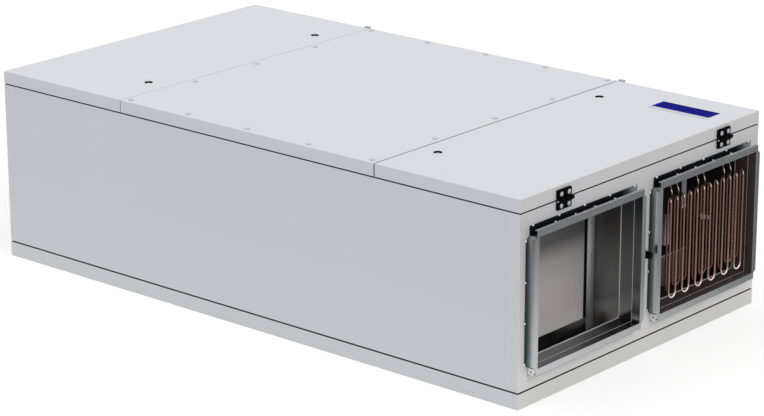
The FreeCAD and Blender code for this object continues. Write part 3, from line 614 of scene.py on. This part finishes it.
# Painted shade: dark discs that stand for small holes, and the dark finish of the thin hanger behind the
# heater.
hole_shade_and_dark_hanger = plain_coat("hole_shade_and_dark_hanger", linear(14, 14, 15), 0.03, 900.0, 0.7, bump=0.1)


def dress(material, *names):
    """Give CAD nodes a material."""
    for name in names:
        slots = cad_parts[name].data.materials
        slots.clear()
        slots.append(material)


BOTH = ("right", "left")
ENDS = (("right", 1), ("left", -1))
LEAVES = [f"{word}_{part}_leaves" for word in BOTH for part in ("case", "lid")]
DUCTS = [f"{end_word}_{side_word}" for end_word in BOTH for side_word in ("front", "back")]
dress(painted, "base_panel", "front_wall", "back_wall", "middle_lid", "middle_lid_caps")
dress(painted, *[f"{word}_{part}" for word in BOTH for part in ("end_panel", "lid")])
dress(galvanised, *[f"{duct}_{part}_rails" for duct in DUCTS for part in ("level", "side")])
dress(sleeve_sheet, "duct_sleeves")
dress(seal_rubber, "base_seal", "lid_seal")
dress(inner_sheet, "heater_plate", *[f"{word}_{part}" for word in BOTH for part in ("bulkhead", "divider")])
dress(fan_sheet, *[f"{word}_fan_wall" for word in BOTH])
dress(guide_sheet, *[f"{word}_filter_guide" for word in BOTH])
dress(filter_face, *[f"{word}_filter" for word in BOTH])
dress(black_plastic, "cable_gland", *LEAVES, *[f"{word}_hinge_pins" for word in BOTH])
dress(lock_finish, *[f"{word}_lid_locks" for word in BOTH])
dress(grey_zinc, *[f"{word}_lid_catch" for word in BOTH])
dress(heater_tube, *[f"heater_element_{word}" for word in ("near", "middle", "far")])


def soften(width, *names):
    """A small bevel on the sharp edges of CAD nodes, whose loose triangles are joined first."""
    for name in names:
        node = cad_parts[name]
        weld = node.modifiers.new("join", "WELD")
        weld.merge_threshold = 0.00001
        bevel = node.modifiers.new("edge", "BEVEL")
        bevel.width = width
        bevel.segments = 2
        bevel.limit_method = "ANGLE"
        bevel.angle_limit = math.radians(40)
        bevel.harden_normals = False


soften(0.0007, "front_wall", "back_wall", "right_end_panel", "left_end_panel")
soften(0.0006, *LEAVES)

# Mesh building.


def grid_faces(rings, sides):
    """Four-sided faces between neighbouring rings, each ring closed on itself."""
    ring = np.arange(rings - 1)[:, None] * sides
    step = np.arange(sides)[None, :]
    following = (step + 1) % sides
    corners = (ring + step, ring + following, ring + sides + following, ring + sides + step)
    return np.stack(corners, axis=-1).reshape(-1, 4)


def lathe(profile, sides):
    """A profile of radius and height turned about +Z: x = r cos a, y = r sin a, z = height.

    The profile runs from the rim at the bottom to the middle of the top, and both ends are closed
    with a flat face.
    """
    radius, height = np.array(profile, float).T
    angle = np.arange(sides) * 2 * math.pi / sides
    points = np.stack(
        np.broadcast_arrays(
            radius[:, None] * np.cos(angle),
            radius[:, None] * np.sin(angle),
            height[:, None],
        ),
        axis=-1,
    ).reshape(-1, 3)
    ends = [np.arange(sides)[::-1].tolist(), (np.arange(sides) + (len(radius) - 1) * sides).tolist()]
    return points, grid_faces(len(radius), sides).tolist() + ends


def slab(low, high, edge):
    """A plate with its upper edges drawn in by a small amount: three rings of four corners."""
    (x0, y0, z0), (x1, y1, z1) = low, high
    insets = ((0, z0), (0, z1 - edge), (edge, z1))
    rings = [
        [(x0 + i, y0 + i, z), (x1 - i, y0 + i, z), (x1 - i, y1 - i, z), (x0 + i, y1 - i, z)]
        for i, z in insets
    ]
    faces = grid_faces(len(rings), 4).tolist() + [[3, 2, 1, 0], [8, 9, 10, 11]]
    return np.array(rings, float).reshape(-1, 3), faces


TURNS = {
    "up": np.array([[1, 0, 0], [0, 1, 0], [0, 0, 1]]),
    "right": np.array([[0, 0, 1], [0, 1, 0], [-1, 0, 0]]),
    "left": np.array([[0, 0, -1], [0, 1, 0], [1, 0, 0]]),
    "front": np.array([[1, 0, 0], [0, 0, -1], [0, 1, 0]]),
    "back": np.array([[1, 0, 0], [0, 0, 1], [0, -1, 0]]),
}


def repeat(shape, places, way="up"):
    """The same shape at several places, its +Z turned to face a way."""
    points, faces = shape
    turned = points @ TURNS[way].T
    count = len(points)
    many = (turned[None] + np.array(places, float)[:, None]).reshape(-1, 3)
    copies = [[corner + k * count for corner in face] for k in range(len(places)) for face in faces]
    return many, copies


def together(*shapes):
    """Several shapes as one."""
    first = np.cumsum([0] + [len(points) for points, _ in shapes])
    faces = [
        [corner + shift for corner in face] for shift, (_, group) in zip(first, shapes) for face in group
    ]
    return np.concatenate([points for points, _ in shapes]), faces


def make(name, shape, material, body, smooth=40):
    """A mesh object from a shape, riding on a body. Edges sharper than the angle stay crisp."""
    points, faces = shape
    mesh = bpy.data.meshes.new(name)
    mesh.from_pydata(points.tolist(), [], faces)
    mesh.materials.append(material)
    mesh.update()
    if smooth:
        mesh.shade_smooth()
        mesh.set_sharp_from_angle(angle=math.radians(smooth))
    piece = bpy.data.objects.new(name, mesh)
    scene.collection.objects.link(piece)
    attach(piece, body)
    return piece


# Screw caps on the middle lid: a low dome over a washer rim, with a shallow dish in its middle.
CAP_REACH = 0.008
CAP_RIM = 0.0016
HEAD_SHARE = 0.78
caps_low, caps_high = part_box("middle_lid_caps")
cap_rise = caps_high.z - caps_low.z
dome = []
for t in np.linspace(0, 1, 7):
    drawn_in = CAP_REACH * (1 - 0.45 * t**2.2)
    dome.append((drawn_in * HEAD_SHARE, CAP_RIM + (cap_rise - CAP_RIM) * math.sin(t * math.pi / 2)))
dish = [(0.0030, cap_rise - 0.0002), (0.0026, cap_rise - 0.0016), (0.0006, cap_rise - 0.0020)]
steps = np.linspace(-1, 1, 5)
cap_x, cap_y = caps_high.x - CAP_REACH, caps_high.y - CAP_REACH
cap_places = [(a * cap_x, b * cap_y, caps_low.z) for a in steps for b in steps if 1 in (abs(a), abs(b))]
cap_head = lathe([(CAP_REACH * HEAD_SHARE, 0), *dome, *dish], 24)
washer = lathe(
    [(CAP_REACH, 0), (CAP_REACH, 0.0014), (CAP_REACH * 0.93, 0.0018), (CAP_REACH * 0.6, 0.0018)], 24
)
washers = make("lid_screw_washers", repeat(washer, cap_places), grey_zinc, "case")
heads = make("lid_screw_heads", repeat(cap_head, cap_places), painted, "case")
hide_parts("middle_lid_caps")
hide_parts("middle_lid_caps")

# Lid locks: a cup let into the lid, its thin collar a little proud, with a low key stud on its floor.
cup_foot = lock_low.z - TOP
cup = [(0.0140, cup_foot), (0.0140, 0.0026), (0.0137, 0.0030), (0.0134, 0.0030)]
cup += [(0.0132, 0.0027), (0.0132, -0.0034), (0.0004, -0.0034)]
key_stud = slab((-0.006, -0.006, -0.0036), (0.006, 0.006, -0.0010), 0.0003)
for word, sign in ENDS:
    spots = [(sign * lock_x, side * lock_y, TOP) for side in (-1, 1)]
    cups = together(repeat(lathe(cup, 28), spots), repeat(key_stud, spots))
    piece = make(f"{word}_lock_cups", cups, lock_finish, f"{word}_lid")
    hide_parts(f"{word}_lid_locks")

# Hinge screws, four on each hinge, and the bright end of each pin.
HINGE_HALF = 0.0335
HINGE_FACE = END + 0.006
PIN_AXIS = END + 0.008
SCREW_PLACES = (-0.0148, 0.0208)
LID_LEAF_LEVEL = 0.6111
CASE_LEAF_LEVEL = 0.5755
SCREW_HEAD = [(0.0075, 0.0), (0.0075, 0.0009), (0.0066, 0.0018)]
SCREW_HEAD += [(0.0036, 0.0024), (0.0030, 0.0012), (0.0006, 0.0011)]
leaf_low, leaf_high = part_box("right_lid_leaves")
pin_low, pin_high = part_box("right_hinge_pins")
hinge_y = (leaf_high.y - leaf_low.y) / 2 - HINGE_HALF
pin_z = (pin_low.z + pin_high.z) / 2
head = lathe(SCREW_HEAD, 20)
pin_cap = lathe([(0.0028, -0.0005), (0.0028, 0.0006), (0.0018, 0.0012), (0.0004, 0.0014)], 16)
for word, sign in ENDS:
    leaves = (("lid_hinge", LID_LEAF_LEVEL, f"{word}_lid"), ("case_hinge", CASE_LEAF_LEVEL, "case"))
    for leaf, leaf_z, body in leaves:
        spots = [
            (sign * HINGE_FACE, side * hinge_y + off, leaf_z) for side in (-1, 1) for off in SCREW_PLACES
        ]
        make(f"{word}_{leaf}_screws", repeat(head, spots, word), grey_zinc, body)
    pin_spots = [(sign * PIN_AXIS, side * hinge_y - HINGE_HALF, pin_z) for side in (-1, 1)]
    make(f"{word}_pin_ends", repeat(pin_cap, pin_spots, "front"), bright_zinc, "case")

# Screws on the duct frames' feet.
rail_head = lathe([(0.0042, 0.0), (0.0040, 0.0012), (0.0030, 0.0026), (0.0012, 0.0032), (0.0003, 0.0033)], 16)
LEVEL_EDGE = 0.0272
SIDE_EDGE = 0.0262
LEVEL_SCREWS = np.array([-0.2445, -0.12225, 0.0, 0.12225, 0.2445])
SIDE_SCREWS = np.array([-0.187, -0.0623, 0.0623, 0.187])
screw_spots = [(off, side * (HALF_HEIGHT + LEVEL_EDGE)) for off in LEVEL_SCREWS for side in (-1, 1)]
screw_spots += [(side * (HALF_WIDTH + SIDE_EDGE), off) for off in SIDE_SCREWS for side in (-1, 1)]
for word, sign in ENDS:
    spots = [
        (sign * (END + 0.0014), duct * DUCT_PLACE + across, DUCT_LEVEL + up)
        for duct in (-1, 1)
        for across, up in screw_spots
    ]
    make(f"{word}_frame_screws", repeat(rail_head, spots, word), bright_zinc, "case")

# Bent tabs that close the ends of the bottom rails, each with two small holes, the lower border of
# the bottom rails' feet, and light clips along the back of the top rails' hems.
pin_hole = lathe([(0.0026, -0.0002), (0.0026, 0.0003), (0.0005, 0.0003)], 12)
rail_ends = (RAIL_LOW.y, RAIL_HIGH.y, -RAIL_HIGH.y, -RAIL_LOW.y)
CLIP_PLACES = (-0.1595, -0.0651, 0.0290, 0.1261)
CLIP_HALF = 0.0022
CLIP_TOP = DUCT_HIGH + 0.0222
CLIP_FOOT = CLIP_TOP - 0.0065
TAB_LOW = DUCT_LOW - 0.0202
TAB_HIGH = DUCT_LOW - 0.0012
HOLE_PLACES = ((END + 0.0124, 0.1089), (END + 0.0262, 0.1061))
FOOT_EDGE = 0.0815
for word, sign in ENDS:
    tab_x = sorted((sign * (END + 0.0015), sign * (MOUTH - 0.0012)))
    tabs, near_holes, far_holes = [], [], []
    for rail_end, inward in zip(rail_ends, (1, -1, 1, -1)):
        tab_y = sorted((rail_end + inward * 0.0002, rail_end + inward * 0.0014))
        tabs.append(slab((tab_x[0], tab_y[0], TAB_LOW), (tab_x[1], tab_y[1], TAB_HIGH), 0.0003))
        holes = near_holes if inward > 0 else far_holes
        holes.extend((sign * hole_x, rail_end, hole_z) for hole_x, hole_z in HOLE_PLACES)
    make(f"{word}_rail_end_tabs", together(*tabs), box_sheet, "case", 0)
    foot_x = sorted((sign * (END - 0.0003), sign * (END + 0.0013)))
    feet = [
        slab((foot_x[0], first, FOOT_EDGE), (foot_x[1], last, RAIL_LOW.z + 0.001), 0.0002)
        for first, last in (rail_ends[:2], rail_ends[2:])
    ]
    make(f"{word}_foot_borders", together(*feet), edge_sheet, "case", 0)
    # The holes are dark discs, painted shade.
    holes = together(repeat(pin_hole, near_holes, "front"), repeat(pin_hole, far_holes, "back"))
    make(f"{word}_rail_end_holes", holes, hole_shade_and_dark_hanger, "case")
    clip_x = sorted((sign * (MOUTH - 0.0150), sign * (MOUTH - 0.0100)))
    clips = []
    for clip_y in [duct * DUCT_PLACE + off for duct in (-1, 1) for off in CLIP_PLACES]:
        low = (clip_x[0], clip_y - CLIP_HALF, CLIP_FOOT)
        high = (clip_x[1], clip_y + CLIP_HALF, CLIP_TOP)
        clips.append(slab(low, high, 0.0005))
    make(f"{word}_hem_clips", together(*clips), edge_sheet, "case", 0)

# Small holes in the filter guides' posts, as dark discs of painted shade.
post_hole = lathe([(0.0022, -0.0003), (0.0022, 0.0003), (0.0005, 0.0003)], 12)
POST_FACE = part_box("right_filter_guide")[1].x
for word, sign in ENDS:
    spots = [(sign * POST_FACE, -0.0279, 0.3886), (sign * POST_FACE, -0.0263, 0.2845)]
    make(f"{word}_post_holes", repeat(post_hole, spots, word), hole_shade_and_dark_hanger, "case")

# Bare label plate on the right lid, with a grey strip beside it.
LABEL_LOW = (0.7875, 0.431, TOP - 0.0004)
LABEL_HIGH = (1.0025, 0.4955, TOP + 0.0008)
make("label_plate", slab(LABEL_LOW, LABEL_HIGH, 0.0003), label_blue, "right_lid", 0)
STRIP_LOW = (0.787, 0.406, TOP - 0.0004)
STRIP_HIGH = (1.0, 0.4308, TOP + 0.0005)
make("label_strip", slab(STRIP_LOW, STRIP_HIGH, 0.0002), label_grey, "right_lid", 0)

# Folded sheet edges inside each duct opening, at both ends of the sleeve, whose bright tone is a painted
# highlight.


def hoop(low, high, thickness):
    """A rectangular loop of flat strip: four corners round the opening, each with four section corners.

    The thickness is given for the upright and for the level members.
    """
    (x0, y0, z0), (x1, y1, z1) = low, high
    s, t = thickness
    rings = []
    for y, z, dy, dz in ((y0, z0, s, t), (y1, z0, -s, t), (y1, z1, -s, -t), (y0, z1, s, -t)):
        rings.append([(x0, y, z), (x0, y + dy, z + dz), (x1, y + dy, z + dz), (x1, y, z)])
    corners = np.arange(16).reshape(4, 4)
    ahead = np.roll(corners, -1, axis=0)
    faces = np.stack((corners, np.roll(corners, -1, axis=1), np.roll(ahead, -1, axis=1), ahead), axis=-1)
    return np.array(rings, float).reshape(-1, 3), faces.reshape(-1, 4)[:, ::-1].tolist()


def duct_hoop(sign, duct, low_x, high_x, thickness):
    """One loop inside a duct opening, between two distances from the middle of the unit."""
    xs = sorted((sign * low_x, sign * high_x))
    middle = duct * DUCT_PLACE
    low = (xs[0], middle - HALF_WIDTH, DUCT_LOW)
    high = (xs[1], middle + HALF_WIDTH, DUCT_HIGH)
    return hoop(low, high, thickness)


INNER_LOOP = (PANEL_LOW.x - 0.0015, PANEL_LOW.x + 0.0012, (0.0014, 0.0017))
OUTER_LOOP = (END - 0.0008, END + 0.0008, (0.0005, 0.0003))
for word, sign in ENDS:
    loops = [duct_hoop(sign, duct, *loop) for loop in (INNER_LOOP, OUTER_LOOP) for duct in (-1, 1)]
    make(f"{word}_sleeve_edges", together(*loops), edge_sheet, "case", 0)

# Box and ledge on each fan wall, and the hanger strap of the heater.
for word, sign in ENDS:
    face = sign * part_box("right_fan_wall")[1].x
    box_x = sorted((face - sign * 0.0005, face + sign * 0.012))
    ledge_x = sorted((face - sign * 0.0005, face + sign * 0.006))
    fan_box = slab((box_x[0], 0.425, 0.190), (box_x[1], 0.4575, 0.290), 0.001)
    fan_ledge = slab((ledge_x[0], 0.0115, 0.148), (ledge_x[1], 0.557, 0.1515), 0.0005)
    make(f"{word}_fan_box", fan_box, box_sheet, "case", 0)
    make(f"{word}_fan_ledge", fan_ledge, edge_sheet, "case", 0)
strap = slab((0.9585, 0.361, 0.350), (0.9605, 0.385, PLATE_LEVEL + 0.0005), 0.0005)
make("heater_strap", strap, strap_sheet, "case", 0)
hanger = slab((0.9590, 0.4985, 0.285), (0.9605, 0.5015, PLATE_LEVEL + 0.0005), 0.0003)
bulbs = [
    slab((0.9570, 0.3585, 0.3525), (0.9640, 0.3805, 0.3640), 0.0012),
    slab((0.9570, 0.4630, 0.2960), (0.9640, 0.4760, 0.3080), 0.0012),
    slab((0.9590, 0.4700, 0.2880), (0.9605, 0.5000, 0.2975), 0.0003),
    slab((0.9570, 0.4950, 0.2800), (0.9640, 0.5150, 0.2930), 0.0012),
]
make("heater_bulbs", together(*bulbs), edge_sheet, "case", 0)
make("heater_bulb_hanger", hanger, hole_shade_and_dark_hanger, "case", 0)

# Heater tubes as smooth round sweeps along the same routes as the CAD elements.
TUBE = 0.00325
PITCH = 0.0353
ROW = 0.0236
FRONT_ROW = MOUTH - 0.015
LEAD_DROP = 0.012
HALF_TURN = np.linspace(0, math.pi, 13)


def bend(first, last, rise):
    """Half a circle between two legs: middle + across cos a + up sin a, over (1) or under (-1)."""
    first, last = np.array(first), np.array(last)
    middle, across = (first + last) / 2, (first - last) / 2
    up = np.array([0, 0, rise * np.linalg.norm(across)])
    return list(middle + np.outer(np.cos(HALF_TURN), across) + np.outer(np.sin(HALF_TURN), up))


def tube(route, radius, sides):
    """A round tube along a route: each ring is route + radius (n cos a + b sin a), where n is
    across the route and a fixed level direction, and b is across both. Each point has a radius."""
    ahead = np.gradient(route, axis=0)
    ahead /= np.linalg.norm(ahead, axis=1)[:, None]
    beside = np.cross(ahead, np.array([0.9, -0.435, 0.0]))
    beside /= np.linalg.norm(beside, axis=1)[:, None]
    over = np.cross(ahead, beside)
    angle = np.arange(sides) * 2 * math.pi / sides
    ring = beside[:, None] * np.cos(angle)[:, None] + over[:, None] * np.sin(angle)[:, None]
    points = (route[:, None] + radius[:, None, None] * ring).reshape(-1, 3)
    ends = [np.arange(sides)[::-1].tolist(), (np.arange(sides) + (len(route) - 1) * sides).tolist()]
    return points, grid_faces(len(route), sides).tolist() + ends


def element_route(number):
    """The centre line of one element, from one terminal to the other."""
    stagger = PITCH / 2
    sides = DUCT_PLACE + 0.009 + (number * 4 + np.arange(4) - 5.5) * PITCH
    backs = sides + stagger
    middle_row, rear_row = FRONT_ROW - ROW, FRONT_ROW - 2 * ROW
    terminal = PANEL_LOW.x - 0.015
    low = DUCT_LOW + 0.0265 + TUBE + stagger
    back_low = DUCT_LOW + 0.046 + TUBE + stagger
    high = DUCT_HIGH - 0.053 - TUBE - math.hypot(ROW, stagger) / 2
    lean = DUCT_HIGH - 0.0575

    route = [(terminal, sides[2], PLATE_LEVEL), (terminal, sides[2], PLATE_LEVEL - LEAD_DROP)]
    route += [(rear_row, sides[2], lean)]
    route += bend((rear_row, sides[2], back_low), (middle_row, backs[0], back_low), -1)
    for first, second in ((0, 1), (2, 3)):
        route += bend((middle_row, backs[first], high), (FRONT_ROW, sides[first], high), 1)
        route += bend((FRONT_ROW, sides[first], low), (FRONT_ROW, sides[second], low), -1)
        route += bend((FRONT_ROW, sides[second], high), (middle_row, backs[second], high), 1)
        if first == 0:
            route += bend((middle_row, backs[1], back_low), (middle_row, backs[2], back_low), -1)
    route += bend((middle_row, backs[3], back_low), (rear_row, sides[3], back_low), -1)
    route += [(rear_row, sides[3], lean), (terminal, sides[3], PLATE_LEVEL - LEAD_DROP)]
    route += [(terminal, sides[3], PLATE_LEVEL)]
    return np.array(route)


for number, word in enumerate(("near", "middle", "far")):
    route = element_route(number)
    radius = np.full(len(route), TUBE)
    radius[:3] = radius[-3:] = TUBE * 0.75
    piece = make(f"round_element_{word}", tube(route, radius, 14), heater_tube, "case", 80)
    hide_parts(f"heater_element_{word}")

# Floor, world and lamps.
FLOOR_REACH = 40
FLOOR_LEVEL = -0.0005
FLOOR_LIFT = 0.50
AMBIENT = 0.45


def seen_share(tree):
    """1 on camera, glossy and transmission rays, and 0 on diffuse and shadow rays."""
    path = add(tree, "ShaderNodeLightPath")
    seen = maths(tree, "ADD", path.outputs["Is Camera Ray"], path.outputs["Is Glossy Ray"], clamp=True)
    return maths(tree, "ADD", seen, path.outputs["Is Transmission Ray"], clamp=True)


corner_signs = ((-1, -1), (1, -1), (1, 1), (-1, 1))
floor_corners = [(a * FLOOR_REACH, b * FLOOR_REACH, FLOOR_LEVEL) for a, b in corner_signs]
floor_mesh = bpy.data.meshes.new("floor")
floor_mesh.from_pydata(floor_corners, [], [(0, 1, 2, 3)])
floor = bpy.data.objects.new("floor", floor_mesh)
scene.collection.objects.link(floor)
floor_paint = bpy.data.materials.new("floor_paint")
floor_paint.use_nodes = True
tree = floor_paint.node_tree
shader = tree.nodes["Principled BSDF"]
shader.inputs["Base Color"].default_value = (0.66, 0.66, 0.66, 1)
shader.inputs["Roughness"].default_value = 1.0
shader.inputs["Specular IOR Level"].default_value = 0.0
shader.inputs["Emission Color"].default_value = (1, 1, 1, 1)
feed(tree, shader.inputs["Emission Strength"], times(tree, seen_share(tree), FLOOR_LIFT))
floor_mesh.materials.append(floor_paint)

world = bpy.data.worlds.new("studio")
scene.world = world
world.use_nodes = True
tree = world.node_tree
background = tree.nodes["Background"]
background.inputs["Color"].default_value = (1, 1, 1, 1)
feed(tree, background.inputs["Strength"], spread(tree, seen_share(tree), 0.0, 1.0, AMBIENT, 1.0))


def lamp(name, strength, colour, towards, spread_degrees):
    """A wide soft sun that shines along a direction."""
    light = bpy.data.lights.new(name, "SUN")
    light.energy = strength
    light.color = colour
    light.angle = math.radians(spread_degrees)
    holder = bpy.data.objects.new(name, light)
    holder.rotation_mode = "QUATERNION"
    holder.rotation_quaternion = Vector(towards).to_track_quat("-Z", "Y")
    scene.collection.objects.link(holder)


lamp("overhead", 0.75, (1, 1, 1), (0.1, 0.15, -1), 60)
lamp("long_side_fill", 0.5, (0.94, 0.97, 1.0), (0.1, 1, -0.3), 60)
lamp("end_fill", 0.69, (1.0, 0.98, 0.96), (-1, 0.15, -0.8), 30)
